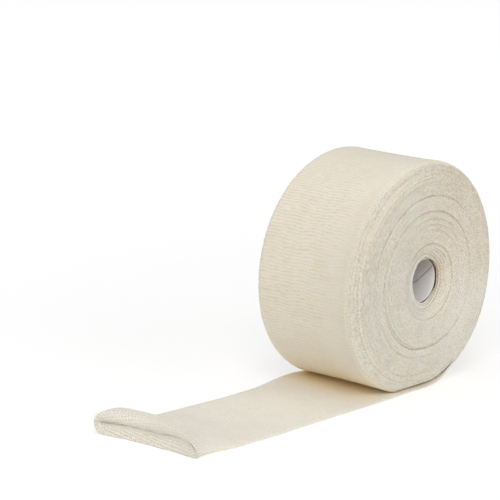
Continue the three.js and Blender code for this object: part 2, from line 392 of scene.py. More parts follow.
def turn_edges(name, side, out_table, rings, seed, material):
    """One end face of the roll, at +X where side is 1 and at -X where it is -1. Rows run out
    from the bore, three to each turn. Its material reads how much shade is painted in the grooves,
    with 2 for painted shadow in the slot beside the card, and how coarse the grain is: over 0 at
    the rim and less in the funnel. The grain trait also gives the rim a warmer tint towards -Y,
    and paints light in the funnel."""
    wound = FACE_EDGE - BORE_RADIUS
    turns = int(wound / TURN_PITCH)
    index = np.arange(turns * ROWS_PER_TURN + 1)
    which = np.minimum(index // ROWS_PER_TURN, turns - 1)
    radius = BORE_RADIUS + wound * index / index[-1]
    degrees = np.arange(360.0)
    relief, crevice_shade, funnel = turn_relief(radius, which, degrees, seed)
    relief, crevice_shade = cut_rings(relief, crevice_shade, radius, degrees, rings)

    # Inside the rim each turn's edge stands square to the axis. At the rim it follows the round.
    on_rim = ease((radius - 47) / 4)
    turn_middle = BORE_RADIUS + (which + 0.5) * wound / turns
    even = face_profile(radius, out_table)
    out = (face_profile(turn_middle, out_table) * (1 - on_rim) + even * on_rim)[:, None]
    if side > 0:
        nick = bell(angle_from(NICK_ANGLE, degrees), 1.4) * bell(radius[:, None] - NICK_RADIUS, 0.45)
        relief = relief - NICK_DEPTH * nick
        out = out + slid_out(turn_middle, degrees)
    slope = (np.gradient(even, radius) * on_rim)[:, None]
    length = np.sqrt(1 + slope**2)
    sway = SWAY * wander(degrees, radius[:, None] / 14, seed + 2)
    r = radius[:, None] - relief * slope / length + sway
    x, r, crevice_shade = cover_card(out + relief / length, r, crevice_shade, radius, degrees)

    # Five plain rings close the piece behind its edges, of a radius and an x each.
    backs = [
        (FACE_EDGE - 0.6, 26.0),
        (FACE_EDGE - 6, 22.0),
        (16.0, 20.0),
        (BORE_RADIUS, 23.0),
        (BORE_RADIUS, np.minimum(x[0], CORE_HALF + 0.1)),
    ]
    front = on_roll(degrees, r, side * x)
    back = np.stack([on_roll(degrees, a, side * b) for a, b in backs])
    cloth = turn_places(index, which, len(backs) + 1)
    # Coarse grain at the rim; below 0 in the funnel, where the material paints it lighter.
    coarse = np.broadcast_to(ease((radius - 46) / 7)[:, None] - 1.6 * funnel, crevice_shade.shape)
    plain = np.zeros((len(backs), len(degrees)))
    traits = {"crevice_shade": np.concatenate([crevice_shade, plain]), "coarse": np.concatenate([coarse, plain])}
    return grid_piece(name, np.concatenate([front, back]), cloth, material, traits)


def band_section():
    """The outer turn's section: x, radius, and how much of the ribs' height each point takes. It
    runs over one folded edge, across the outside, over the other edge and back inside."""
    fold_x, fold_r, fold_share = np.array(EDGE_FOLD).T
    curve = np.linspace(math.radians(RIM_REACH), 0, 7)
    rim_x = STRAIGHT_HALF + RIM_RADIUS * np.sin(curve)
    rim_r = ROLL_RADIUS - RIM_RADIUS * (1 - np.cos(curve))
    middle = np.linspace(STRAIGHT_HALF, -STRAIGHT_HALF, 57)[1:-1]
    middle_r = ROLL_RADIUS - ROLL_WAIST * (1 - (middle / STRAIGHT_HALF) ** 2)
    edge_x = np.concatenate([rim_x[0] + fold_x, rim_x])
    edge_r = np.concatenate([rim_r[0] + fold_r, rim_r])
    edge_share = np.concatenate([fold_share, np.ones(len(rim_x))])
    x = np.concatenate([edge_x, middle, -edge_x[::-1], [-10.0, 10.0]])
    r = np.concatenate([edge_r, middle_r, edge_r[::-1], [ROLL_RADIUS - 2.2] * 2])
    share = np.concatenate([edge_share, np.ones(len(middle)), edge_share[::-1], [0.0, 0.0]])
    return x, r, share


def skin_traits(wide, degrees, pressed, near_rim, spots):
    """What the outer turn's material reads: how warm the painted shade over the loose end is, how
    much the ribs show, how much shade is painted down the roll's front and towards the near rim,
    and how coarse the grain is. wide is the place along the roll."""
    from_top = np.abs(angle_from(0, degrees))
    from_foot = np.abs(angle_from(180, degrees))
    above_foot = 1 - ease((from_top - 120) / 32)

    to_loose = ease(0.5 - 3 * np.sin(np.radians(degrees)))
    # Painted warm shade low on the side over the loose end.
    crevice_shade = 0.75 * ease((62 - from_foot) / 50) * to_loose * ease((38 - wide) / 22)
    shown = (0.45 + 0.55 * ease((from_top - 8) / 40)) * (1 - 0.4 * ease((from_top - 95) / 30))
    ribs = pressed * shown * (0.85 + 0.35 * spots) + 0.35 * ease((wide - 23) / 3)
    # Painted shade down the roll's front, more towards the near rim.
    painted_shade = ease((from_top - 25) / 50) * above_foot * (0.6 + 0.4 * ease((wide + 5) / 25))
    painted_shade = painted_shade + 0.5 * ease((wide - 14) / 12) * ease((from_top - 15) / 30) * above_foot
    coarse = np.broadcast_to(near_rim, painted_shade.shape)
    return {"crevice_shade": crevice_shade, "ribs": ribs, "painted_shade": painted_shade, "coarse": coarse}


def outer_turn(material):
    """The roll's outer turn as a closed band. Columns run round it, six to a rib, and rows run
    over its section. The ribs rise by half a wave each, wander along the roll, are weaker in
    some bands than others, and are pressed flatter towards the near end."""
    count = ROLL_RIBS * RIB_STEPS
    degrees = LAST_TURN_FROM + np.arange(count) * 360.0 / count
    x, r, share = band_section()
    wide = x[:, None]

    phase = (degrees - LAST_TURN_FROM) / 360 * ROLL_RIBS
    phase = phase + sum(far * patches(wide, phase, u, v, seed) for far, u, v, seed in RIB_WANDER)
    spots = patches(wide, phase, 2.3, 1.0, 15)
    band = 0.30 + 0.16 * patches(wide, phase, 3.2, 9.0, 13) + 0.42 * spots
    pressed = 1 - 0.6 * ease((wide - 8) / 18)
    near_rim = ease((np.abs(wide) - 24) / 3)
    height = 0.62 * RIB_HEIGHT * band * pressed * (rib(phase) - 0.5)
    height = height + 0.12 * wander(degrees, wide / 25, 14)
    height = height + 1.6 * STIPPLE * near_rim * patches(wide, phase, 0.9, 0.5, 16)
    radius = r[:, None] + share[:, None] * height
    points = on_roll(degrees, radius, wide)

    ribs = np.concatenate([phase, phase[:, :1] + ROLL_RIBS], 1)
    ribs = np.concatenate([ribs, ribs[:1]])
    spread = np.broadcast_to(np.append(x, x[0])[:, None], ribs.shape)
    cloth = np.stack([spread, ribs * RIB_PITCH], -1)
    traits = skin_traits(wide, degrees, pressed, near_rim, spots)
    return grid_piece("outer_turn", points, cloth, material, traits)


def card_core(material):
    """The card tube as a closed ring: rows run along its bore, over its blunt ends with their
    edges eased, and back along its outside. It is a little out of round."""
    lengths, sides, eased = 25, 128, 0.2
    end = CORE_HALF - eased
    inner_end, outer_end = CORE_INNER + eased, CORE_OUTER - eased
    x = [*np.linspace(end, -end, lengths), -CORE_HALF, -CORE_HALF, -end, end, CORE_HALF, CORE_HALF]
    r = [*[CORE_INNER] * lengths, inner_end, outer_end, CORE_OUTER, CORE_OUTER, outer_end, inner_end]
    x, r = np.array(x)[:, None], np.array(r)[:, None]
    turn = np.arange(sides) * 2 * math.pi / sides
    r = r + 0.05 * np.cos(2 * turn) + 0.03 * np.sin(5 * turn)
    y, z = CORE_Y + r * np.sin(turn), CORE_Z + r * np.cos(turn)
    points = np.stack(np.broadcast_arrays(x, y, z), -1)
    around = np.arange(sides + 1) * 2 * math.pi * CORE_INNER / sides
    cloth = np.stack(np.meshgrid(np.append(x, x[0]), around, indexing="ij"), -1)
    return grid_piece("card_core", points, cloth, material)


# The loose end along the surface, as in the frame: the creases at the tube's two sides, the
# middles of its layers as y and z, and half its height beside each crease.
LOOSE_ROWS = [
    # far crease, near crease, top middle, low middle, far and near gap
    ((-30.0, 9, 0.7), (30.2, 9, 0.7), (9, 1.4), (9, 0), (0.7, 0.7)),
    ((-30.2, -10, 0.7), (30.6, -10, 0.7), (-10, 1.4), (-10, 0), (0.7, 0.7)),
    ((-30.6, -32, 1.6), (30.7, -32, 0.7), (-32, 1.4), (-32, 0), (0.7, 0.7)),
    ((-29.0, -55, 0.9), (30.2, -55, 0.7), (-55, 1.4), (-55, 0), (0.7, 0.7)),
    ((-28.8, -84, 0.8), (29.6, -84, 0.7), (-84, 1.5), (-84, 0), (0.7, 0.7)),
    ((-30.4, -106, 1.0), (29.5, -106, 0.8), (-106, 1.5), (-106, 0), (0.8, 0.7)),
    ((-30.2, -120, 1.6), (29.0, -120, 0.9), (-118, 2.1), (-120, 0), (0.9, 0.8)),
]
# The mouth, close to the frame's: the rows turn over the lips, which touch behind their rims but
# for a pocket at the far corner, and run back inside the tube.
MOUTH_ROWS = [
    ((-30.8, -132, 2.0), (28.2, -134, 1.0), (-128, 3.7), (-132, 0), (1.4, 0.9)),
    ((-32.6, -144, 5.0), (25.6, -147, 1.3), (-135.5, 5.8), (-145, 0), (4.3, 1.2)),
    # crest
    ((-34.8, -154.5, 6.2), (26.4, -155, 2.0), (-141.5, 7.4), (-153.5, -1), (7.6, 2.0)),
    # nose
    ((-34.8, -161.5, 5.6), (27.2, -156.8, 2.4), (-146, 7.1), (-156.8, 0.2), (7.4, 2.4)),
    ((-33.6, -161.5, 5.6), (26.0, -156.8, 3.2), (-149.8, 6.1), (-156.1, 3.2), (4.4, 0.9)),
    # slit
    ((-32.2, -159, 5.6), (24.0, -154.4, 3.7), (-151.9, 4.9), (-152.0, 4.85), (0.2, 0.03)),
    ((-31.2, -156, 5.2), (22.0, -150.6, 3.3), (-149.4, 4.1), (-149.4, 4.05), (0.1, 0.03)),
    ((-29.4, -146, 4.2), (20.0, -141, 2.2), (-141, 2.7), (-141, 2.65), (0.1, 0.03)),
    ((-27.6, -134, 2.2), (18.0, -134, 1.6), (-134, 2.1), (-134, 2.05), (0.1, 0.03)),
]
CREST_ROW, SLIT_ROW = 2, 5
# How fast the gap falls off away from the far crease in each of the mouth's rows: evenly over the
# lips, and within the far corner alone from the rims inwards.
GAP_FALL = [1, 1, 1, 1, 4.5, 6, 8, 8, 3]
# How far each of these rows is drawn up beside the near crease, in both layers.
NEAR_LIFT = [0, 0, 0, 0.5, 1.0, 1.4, 1.3, 0.4, 0]
CREASE_POWER = 8
LAYER_POINTS = 60

# The lips' ribs run askew beside the far crease, by SKEW mm for each mm across, and less of it by
# SKEW_FALL for each mm further across. On the lower lip they lie closer together towards the
# slit, by CLOSER mm for each mm along.
SKEW = 0.33
SKEW_FALL = 0.0027
CLOSER = 0.5

# How far the painted shade beside the slit reaches, in mm: over the lower lip, over the upper
# one, and how much further over that one beside the far crease.
SHADE_LOW, SHADE_UP, SHADE_FAR = 1.9, 5.5, 2.0


def last_turn_rows():
    """The rows of the last turn, from where it leaves the roll's back down to the surface."""
    rows = []
    for degrees in np.linspace(LAST_TURN_FROM, LAST_TURN_TO, 5):
        turn = math.radians(degrees)
        outline = outline_radius(np.array([degrees]), 0)[0]
        middle, top, low = (
            ((outline - depth) * math.sin(turn), ROLL_CENTRE_Z + (outline - depth) * math.cos(turn))
            for depth in (SHEET_THICKNESS / 2, SHEET_THICKNESS, 0)
        )
        gap = top[1] - middle[1]
        half = CLOTH_WIDTH / 2
        rows.append(((-half, *middle), (half, *middle), top, low, (gap, gap)))
    return rows


def tube_rings(rows, fall, lift):
    """The tube's rings, one for each row. across runs from the near crease at 1 to the far one at
    -1, over the top layer and back under the low one. A layer follows the line between the
    creases, bulges by the parabola 1 - a^2 to its middle, and keeps its gap until it rounds over
    by the root of 1 - a^8 near the crease. The gap falls from the far one to the near one by the
    power fall of the share that is left. Both layers rise by lift beside the near crease."""
    k = (np.arange(LAYER_POINTS) + 0.5) / LAYER_POINTS
    across = np.concatenate([np.cos(math.pi * k), -np.cos(math.pi * k)])[None, :]
    layer = np.repeat([1.0, -1.0], LAYER_POINTS)[None, :]
    far, near, top, low, gaps = (np.array([row[i] for row in rows], float) for i in range(5))
    fall, lift = np.array(fall, float)[:, None], np.array(lift, float)[:, None]
    share = (across + 1) / 2
    points = far[:, None] * (1 - share[..., None]) + near[:, None] * share[..., None]
    parabola = 1 - across**2
    rounded = np.sqrt(np.maximum(1 - np.abs(across) ** CREASE_POWER, 0))
    left = (1 - share) ** fall
    gap = gaps[:, :1] * left + gaps[:, 1:] * (1 - left)
    target = np.where(layer[..., None] > 0, top[:, None], low[:, None])
    middle = ((far + near) / 2)[:, None, 1:]
    points[..., 1:] += (target - middle) * parabola[..., None]
    points[..., 2] += layer * gap * (rounded - parabola)
    points[..., 2] += lift * ease((share - 0.5) / 0.3) * ease((1 - share) / 0.1)
    return points, across


def through(rings, knots, places):
    """A smooth curve through each column of rings, read at places along it: cubic between knots,
    with the slopes of the parabola through each three neighbours."""
    gap = np.diff(knots)[:, None, None]
    chord = np.diff(rings, axis=0) / gap
    slope = np.empty_like(rings)
    slope[1:-1] = (chord[:-1] * gap[1:] + chord[1:] * gap[:-1]) / (gap[:-1] + gap[1:])
    slope[0], slope[-1] = chord[0], chord[-1]
    i = np.clip(np.searchsorted(knots, places, side="right") - 1, 0, len(knots) - 2)
    t = ((places - knots[i]) / (knots[i + 1] - knots[i]))[:, None, None]
    width = gap[i]
    return (
        rings[i] * (2 * t**3 - 3 * t**2 + 1)
        + slope[i] * width * (t**3 - 2 * t**2 + t)
        + rings[i + 1] * (3 * t**2 - 2 * t**3)
        + slope[i + 1] * width * (t**3 - t**2)
    )


def round_at_rim(points, along):
    """Draws the first rows in towards the roll's middle, by its rim's round at each x."""
    past = np.clip(np.abs(points[..., 0]) - STRAIGHT_HALF, 0, 0.9 * RIM_RADIUS)
    depth = (RIM_RADIUS - np.sqrt(RIM_RADIUS**2 - past**2)) * (1 - ease(along / 16))
    points[..., 1:] -= unit(points[..., 1:] - np.array([0, ROLL_CENTRE_Z])) * depth[..., None]


def skewed(along, width, is_low, lip_from, slit_from):
    """Where along the cloth its ribs are counted: on the lips, further on for each mm from the
    far crease."""
    from_far = width + CLOTH_WIDTH / 2
    skew = (SKEW - SKEW_FALL * from_far) * from_far * ease((along - lip_from + 2) / 20)
    inside = ease(from_far / 6) * ease((CLOTH_WIDTH - from_far) / 6) * is_low
    return along + skew + CLOSER * np.clip(along - slit_from + 10, 0, 14) * inside


def loose_traits(points, along, width, is_low, lips, slit_from):
    """What the loose end's material reads: how warm the painted shade under the roll is, how much the
    ribs show, the lips as 1 and the slit between them as 2, which gets painted light, how much shade
    is painted beside the slit and on the lower lip's near half, and how coarse the grain is."""
    x, y = points[..., 0], points[..., 1]
    # Painted warm shade under the roll.
    crevice_shade = 0.9 * ease((y + 48) / 34) * ease((16 - y) / 16) * ease((32 - x) / 22)
    past_slit = along - slit_from
    slit = np.clip(bell(past_slit, 1.8) + ease(past_slit / 1.5), 0, 1)
    to_near = ease((width - 10) / 14)
    to_far = 1 - ease((width + CLOTH_WIDTH / 2) / 15)
    reach = np.where(is_low, SHADE_LOW, SHADE_UP + SHADE_FAR * to_far)
    # Painted shade beside the slit, further over the upper lip, and on the lower lip's near half.
    painted_shade = 2.6 * np.clip(1 + past_slit / reach, 0, 1) ** 1.3 * (1 - 0.6 * to_near)
    painted_shade = painted_shade + 0.5 * to_near * lips * is_low
    ribs = 0.5 + 0.5 * lips + 0.7 * lips * is_low
    traits = {"crevice_shade": crevice_shade, "ribs": ribs, "lips": np.maximum(lips, 2 * slit)}
    return {**traits, "painted_shade": painted_shade, "coarse": np.full(painted_shade.shape, 0.6)}


def loose_end(material):
    """The loose end of the tube, from where it leaves the roll to its curled mouth and back into
    the tube. Rows run along it, six to a rib, and columns round it. The ribs stand highest and
    run askew on the lips. Returns the piece and its grid of points."""
    plain_rows = last_turn_rows() + LOOSE_ROWS
    fall = [1] * len(plain_rows) + GAP_FALL
    lift = [0] * len(plain_rows) + NEAR_LIFT
    rings, across = tube_rings(plain_rows + MOUTH_ROWS, fall, lift)
    walk = np.linalg.norm(np.diff(rings, axis=0), axis=-1)
    knots = np.concatenate([[0], np.cumsum(walk.mean(1))])
    lip_from, crest, slit_from = knots[len(plain_rows) + np.array([0, CREST_ROW, SLIT_ROW])]
    along = np.linspace(0, knots[-1], int(knots[-1] / RIB_PITCH * RIB_STEPS))[:, None]
    points = through(rings, knots, along[:, 0])
    round_at_rim(points, along)

    width = across * CLOTH_WIDTH / 2
    is_low = (np.arange(points.shape[1]) >= LAYER_POINTS)[None, :]
    lips = ease((along - lip_from) / 14)
    # Soft unevenness of cloth that has been wound flat and let go.
    lying = ease((along - 30) / 25) * (1 - lips)
    points[..., 2] += 0.22 * lying * (1 + patches(along, width, 17, 15, 21)) * (~is_low)

    # Over the tube's top the ridges of the lip die out towards the near corner.
    lips = lips * (1 - (~is_low) * ease((width - 8) / 12) * (1 - ease((along - crest + 1) / 4)))
    phase = skewed(along, width, is_low, lip_from, slit_from) / RIB_PITCH
    phase = phase + 0.22 * patches(width, phase, 4.0, 3.0, 22) * (1 - lips)
    lying_ribs = 0.25 * (1 + patches(width, phase, 5.0, 4.0, 23)) * (1 - lips)
    tall = RIB_HEIGHT * (lying_ribs + 1.3 * lips * (1 + 0.4 * is_low))
    points = points + tube_normals(points) * (tall * (rib(phase) - 0.5))[..., None]
    points[..., 2] = np.maximum(points[..., 2], 0.02)

    ribs = np.concatenate([phase, phase[:, -1:]], 1)
    around = np.broadcast_to(np.append(width[0], width[0, 0]), ribs.shape)
    cloth = np.stack([around, ribs * RIB_PITCH], -1)
    traits = loose_traits(points, along, width, is_low, lips, slit_from)
    tail = grid_piece("loose_end_cloth", points, cloth, material, traits, zip_ends=True)
    return tail, points


# Cut yarns at the mouth's far corner: the row and column of the loose end's grid that each stands
# on, and how far its tip is from there.
YARN_ROOTS = [
    ((632, 52), (-1.0, -0.9, 1.4)),
    ((628, 56), (-1.4, -1.2, 1.4)),
    ((629, 57), (-1.5, -1.3, 1.0)),
    ((640, 57), (-1.5, -1.3, 0.6)),
]
YARN_RADIUS = 0.42
YARN_SAG = np.array([0.0, 0.12, -0.16])
YARN_SIDES = 6
YARN_RINGS = 8


def yarn_rings(foot, lean, sag):
    """The rings of one cut yarn, a tube that tapers to a fifth. Its path starts inside the lip
    below foot, ends at foot + lean, and bends by sag times the parabola 2t(1 - t)."""
    t = np.linspace(0, 1, YARN_RINGS)[:, None]
    root, tip = foot - lean * 0.4, foot + lean
    path = root * (1 - t) + tip * t + sag * t * (1 - t) * 2
    lead = unit(tip - root)
    side = unit(np.cross(lead, [0.3, -1, 0.2]))
    other = np.cross(lead, side)
    turn = (np.arange(YARN_SIDES) * 2 * math.pi / YARN_SIDES)[None, :, None]
    radius = (YARN_RADIUS * (1 - 0.8 * t))[..., None]
    return path[:, None, :] + radius * (side * np.cos(turn) + other * np.sin(turn))


def yarn_ends(lip, material):
    """Short cut yarns at the mouth's far corner, as one piece. lip is the loose end's grid."""
    corner_rows, corner_cols = grid_faces(YARN_RINGS, YARN_SIDES, False)
    side_faces = corner_rows * YARN_SIDES + corner_cols % YARN_SIDES
    end = np.array([[0, 1, 2, 3], [0, 3, 4, 5]])
    last = (YARN_RINGS - 1) * YARN_SIDES
    one_yarn = np.concatenate([side_faces, end[:, ::-1], end + last])
    on_sides = np.stack([corner_cols * 0.2, corner_rows * 0.4], -1)
    on_ends = np.zeros((2 * len(end), 4, 2))
    points, faces, cloth = [], [], []
    for number, (place, lean) in enumerate(YARN_ROOTS):
        sag = YARN_SAG if number % 2 else -YARN_SAG
        points.append(yarn_rings(lip[place], np.array(lean), sag).reshape(-1, 3))
        faces.append(one_yarn + number * YARN_RINGS * YARN_SIDES)
        cloth += [on_sides, on_ends]
    points, faces, cloth = (np.concatenate(parts) for parts in (points, faces, cloth))
    return piece("cut_yarn_ends", points, faces, cloth, material)


class Value:
    """A number socket of a node graph, with arithmetic: each operation adds its Math node."""

    def __init__(self, graph, socket):
        self.graph, self.socket = graph, socket

    def __add__(self, other):
        return self.graph.math("ADD", self, other)

    __radd__ = __add__

    def __sub__(self, other):
        return self.graph.math("SUBTRACT", self, other)

    def __rsub__(self, other):
        return self.graph.math("SUBTRACT", other, self)

    def __mul__(self, other):
        return self.graph.math("MULTIPLY", self, other)

    __rmul__ = __mul__

    def __truediv__(self, other):
        return self.graph.math("DIVIDE", self, other)


class Graph:
    """A material's nodes. node() makes any node: settings first, then its sockets' values."""

    def __init__(self, name):
        self.material = bpy.data.materials.new(name)
        self.material.use_nodes = True
        self.tree = self.material.node_tree
        self.tree.nodes.clear()

    def put(self, socket, value):
        value = getattr(value, "socket", value)
        if isinstance(value, bpy.types.NodeSocket):
            self.tree.links.new(value, socket)
        else:
            socket.default_value = value

    def node(self, kind, settings=None, inputs=None):
        made = self.tree.nodes.new(kind)
        for key, value in (settings or {}).items():
            setattr(made, key, value)
        for key, value in (inputs or {}).items():
            self.put(made.inputs[key], value)
        return made

    def math(self, operation, *values):
        inputs = dict(enumerate(values))
        return Value(self, self.node("ShaderNodeMath", {"operation": operation}, inputs).outputs[0])

    def place(self, kind):
        """The three numbers of the piece's cloth map or of its Object coordinates."""
        if kind == "cloth":
            source = self.node("ShaderNodeUVMap", {"uv_map": "cloth"}).outputs["UV"]
        else:
            source = self.node("ShaderNodeTexCoord").outputs["Object"]
        parts = self.node("ShaderNodeSeparateXYZ", inputs={0: source})
        return [Value(self, parts.outputs[i]) for i in range(3)]

    def trait(self, name):
        """A number that the piece has for each point, or 0 where it has none."""
        return Value(self, self.node("ShaderNodeAttribute", {"attribute_name": name}).outputs["Fac"])

    def noise_at(self, spot, scale, detail, rough):
        """Noise from 0 to 1 at the vector spot."""
        inputs = {"Vector": spot, "Scale": scale, "Detail": detail, "Roughness": rough}
        made = self.node("ShaderNodeTexNoise", {"noise_dimensions": "3D"}, inputs)
        return Value(self, made.outputs["Fac"])

    def noise(self, scale, detail=2.0, rough=0.5, stretch=None):
        """Noise over the Object coordinates in metres, which stretch may scale first."""
        spot = self.node("ShaderNodeTexCoord").outputs["Object"]
        if stretch:
            spot = self.node("ShaderNodeMapping", inputs={"Vector": spot, "Scale": stretch}).outputs[0]
        return self.noise_at(spot, scale, detail, rough)

    def streaks(self, across, wide, length):
        """Noise in streaks round the axis: wide across them, in mm, and length along them."""
        _, y, z = self.place("object")
        inputs = {0: across / wide, 1: y / (length * MM), 2: z / (length * MM)}
        spot = self.node("ShaderNodeCombineXYZ", inputs=inputs).outputs[0]
        return self.noise_at(spot, 1.0, 2.0, 0.6)

    def wave(self, phase):
        """0 at whole phases and 1 between them, as rib() has it."""
        return 0.5 - 0.5 * self.math("COSINE", phase * (2 * math.pi))

    def span(self, value, low, high, start=0.0, stop=1.0):
        """From start to stop as value goes from low to high, eased, and held at both ends."""
        settings = {"clamp": True, "interpolation_type": "SMOOTHSTEP"}
        inputs = {"Value": value, "From Min": low, "From Max": high, "To Min": start, "To Max": stop}
        return Value(self, self.node("ShaderNodeMapRange", settings, inputs).outputs["Result"])

    def blend(self, factor, first, second):
        """A colour from first to second by factor, held at both ends."""
        made = self.node("ShaderNodeMix", {"data_type": "RGBA", "clamp_factor": True})
        self.put(made.inputs[0], factor)
        self.put(made.inputs[6], first)
        self.put(made.inputs[7], second)
        return made.outputs[2]

    def finish(self, colour, roughness, height, distance, settings):
        """The surface: colour, roughness, a bump by height times distance, and fixed settings."""
        inputs = {"Height": height, "Distance": distance, "Strength": 1.0}
        bump = self.node("ShaderNodeBump", inputs=inputs)
        inputs = {"Base Color": colour, "Roughness": roughness, "Normal": bump.outputs[0], **settings}
        shader = self.node("ShaderNodeBsdfPrincipled", inputs=inputs)
        self.node("ShaderNodeOutputMaterial", inputs={"Surface": shader.outputs[0]})
        return self.material


def tint(red, green, blue):
    """An sRGB colour, 0 to 255, as the linear colour of a shader socket."""
    shares = [value / 255 for value in (red, green, blue)]
    linear = [s / 12.92 if s <= 0.04045 else ((s + 0.055) / 1.055) ** 2.4 for s in shares]
    return (*linear, 1.0)


# Each cloth's light yarn, its warmer patches, and the painted shade of its grooves, which its
# grain also darkens towards.
ROLL_TINTS = tint(238, 230, 215), tint(228, 217, 194), tint(201, 182, 147)
EDGE_TINTS = tint(244, 239, 227), tint(235, 226, 206), tint(192, 172, 138)
LOOSE_TINTS = tint(243, 238, 227), tint(234, 226, 208), tint(197, 189, 169)
# Painted warm shade, painted light in the slit, painted shade, and painted warm light on the
# face's upper side, which also warms its rim like the skin. Painted shadow in the slot beside
# the card.
PAINTED_WARM_SHADE = tint(251, 227, 183)
PAINTED_SLIT_LIGHT = tint(246, 240, 225)
PAINTED_SHADE_TINT = tint(196, 190, 172)
WARM_LIGHT_AND_RIM_TINT = tint(243, 233, 213)
PAINTED_SLOT_SHADOW = tint(84, 57, 36)
# Light passes a few mm into the cloth, and red further than blue.
COTTON = {
    "Sheen Weight": 0.05,
    "Sheen Roughness": 0.6,
    "Specular IOR Level": 0.25,
    "Subsurface Weight": 0.3,
    "Subsurface Radius": (1.0, 0.7, 0.4),
    "Subsurface Scale": 4.0 * MM,
}
COTTON_ROUGHNESS = 0.92

# The card: its pale lining, the same in painted shade high in the bore, the lining's joint, and
# bare board.
LINING_TINTS = tint(250, 249, 247), tint(168, 157, 147)
JOINT_TINT = tint(120, 110, 102)
BOARD_TINTS = tint(104, 78, 56), tint(66, 47, 32)
# The joint's angle at one x near the near end, and how many degrees it turns back for each mm.
JOINT_ANGLE, JOINT_X, JOINT_TURN = 59.0, 26.3, 5.02


def gauze(name, tints, rib_depth, stitch_depth, groove_shade, glow=0.3):
    """Unbleached cotton knit. Its ribs and stitches come from the cloth's own map, with painted shade
    in their grooves, darkest in the pinholes where the grooves of both meet, over soft patches and
    fine fibre. On the lips they are drawn apart into rows of beads, with painted shade between
    them. The piece's traits say how much the ribs show, where the lips and the slit are, how coarse
    the grain is, and where shade and warm shade are painted. The slit gets painted light. glow is
    how much light passes through the yarn."""
    light, warm, shade_and_grain = tints
    graph = Graph(name)
    across, along, _ = graph.place("cloth")
    ribs, lips = graph.trait("ribs"), graph.trait("lips")
    on_lips, in_slit = graph.span(lips, 0, 1), graph.span(lips, 1, 2)
    fibre = graph.noise(2600, 3.0, 0.65)
    grain = graph.noise(1100, 2.0, 0.6)
    dash = graph.noise(1300, 1.0, 0.5, (0.3, 1.0, 1.0))
    drift = graph.noise(420) - 0.5
    mottle = graph.noise(70, 3.0, 0.6)
    course = graph.wave(along / RIB_PITCH + drift * 0.30)
    wale = graph.wave(across / WALE_PITCH + drift * 0.9)
    bead = graph.wave(across / BEAD_PITCH - along * BEAD_SLANT / RIB_PITCH + drift * 0.7)
    height = ribs * (course * rib_depth + course * wale * stitch_depth) + fibre * 0.04

    # Painted shade in the knit's grooves, darkest in the pinholes, and between the beads on the lips.
    pinholes = (1 - course) * (1 - wale) * (0.5 - on_lips * 0.35)
    weave_shade = ribs * ((1 - course) * groove_shade + pinholes + (1 - wale) * 0.10)
    beads = on_lips * ((1 - course) * 0.10 + (1 - bead) * 0.18 - 0.03)
    fuzz = (grain - 0.5) * (0.55 + graph.trait("coarse") * 0.5) + (dash - 0.5) * ribs * 0.4
    colour = graph.blend(graph.span(mottle, 0.35, 0.7) * 0.25, light, warm)
    colour = graph.blend(weave_shade + fuzz + beads, colour, shade_and_grain)
    # Painted shade where the trait says.
    colour = graph.blend(graph.trait("painted_shade") * 0.31, colour, PAINTED_SHADE_TINT)
    # Painted warm shade.
    colour = graph.blend(graph.trait("crevice_shade"), colour, PAINTED_WARM_SHADE)
    # Painted light in the slit.
    colour = graph.blend(in_slit * 0.2, colour, PAINTED_SLIT_LIGHT)
    settings = {**COTTON, "Subsurface Weight": glow}
    return graph.finish(colour, COTTON_ROUGHNESS, height, 1.0 * MM, settings)


def edge_gauze(name):
    """The wound turns seen on edge: each turn's fold carries the ribs' ends along its length, in
    streaks, with painted shade in the grooves and where the piece's trait says. The face has painted
    shade on the side towards +Y, more higher up, and painted light and warmth at the top of the
    other side, and its grain is as coarse as the piece's trait says."""
    light, warm, shade_and_grain = EDGE_TINTS
    graph = Graph(name)
    across, along, _ = graph.place("cloth")
    _, y, z = graph.place("object")
    crevice_shade, coarse = graph.trait("crevice_shade"), graph.trait("coarse")
    fibre = graph.noise(2600, 3.0, 0.65)
    grain = graph.noise(900, 2.0, 0.6) - 0.5
    mottle = graph.noise(60, 3.0, 0.6)
    turn = graph.wave(across / TURN_PITCH)
    ribs = graph.wave(along / RIB_PITCH + grain * 0.5)
    height = ribs * 0.07 + fibre * 0.03

    to_right = graph.span(y, -20 * MM, 25 * MM)
    to_left = 1 - to_right
    # Painted shade on the upper part of the side towards +Y, over a face a little lighter all over,
    # and painted light on the upper part of the other side.
    painted_shade = to_right * graph.span(z, 35 * MM, 65 * MM) * 0.26 - 0.06
    lit = to_left * graph.span(z, 68 * MM, 88 * MM) * 0.14
    streak = (graph.streaks(across, 0.5, 4.5) - 0.5) * (0.5 + to_right * 0.4)
    # Painted shade in the grooves between ribs and turns, with grain and streaks of random tone.
    weave_shade = (1 - ribs) * 0.26 + (1 - turn) * 0.10 + grain * (1.2 + coarse * 0.3) + streak
    shade = weave_shade + crevice_shade * 0.9 + painted_shade - lit + coarse * 0.06
    upper = graph.span(z, 55 * MM, 85 * MM) * 0.45
    colour = graph.blend(graph.span(mottle, 0.35, 0.7) * 0.4, light, warm)
    # Warmer towards -Y: painted warm light on the upper side, and the skin's warmth at the rim.
    colour = graph.blend((coarse * 0.3 + upper) * to_left, colour, WARM_LIGHT_AND_RIM_TINT)
    colour = graph.blend(shade, colour, shade_and_grain)
    # Painted shadow in the slot beside the card.
    colour = graph.blend(graph.span(crevice_shade, 1, 2), colour, PAINTED_SLOT_SHADOW)
    return graph.finish(colour, COTTON_ROUGHNESS, height, 1.0 * MM, COTTON)


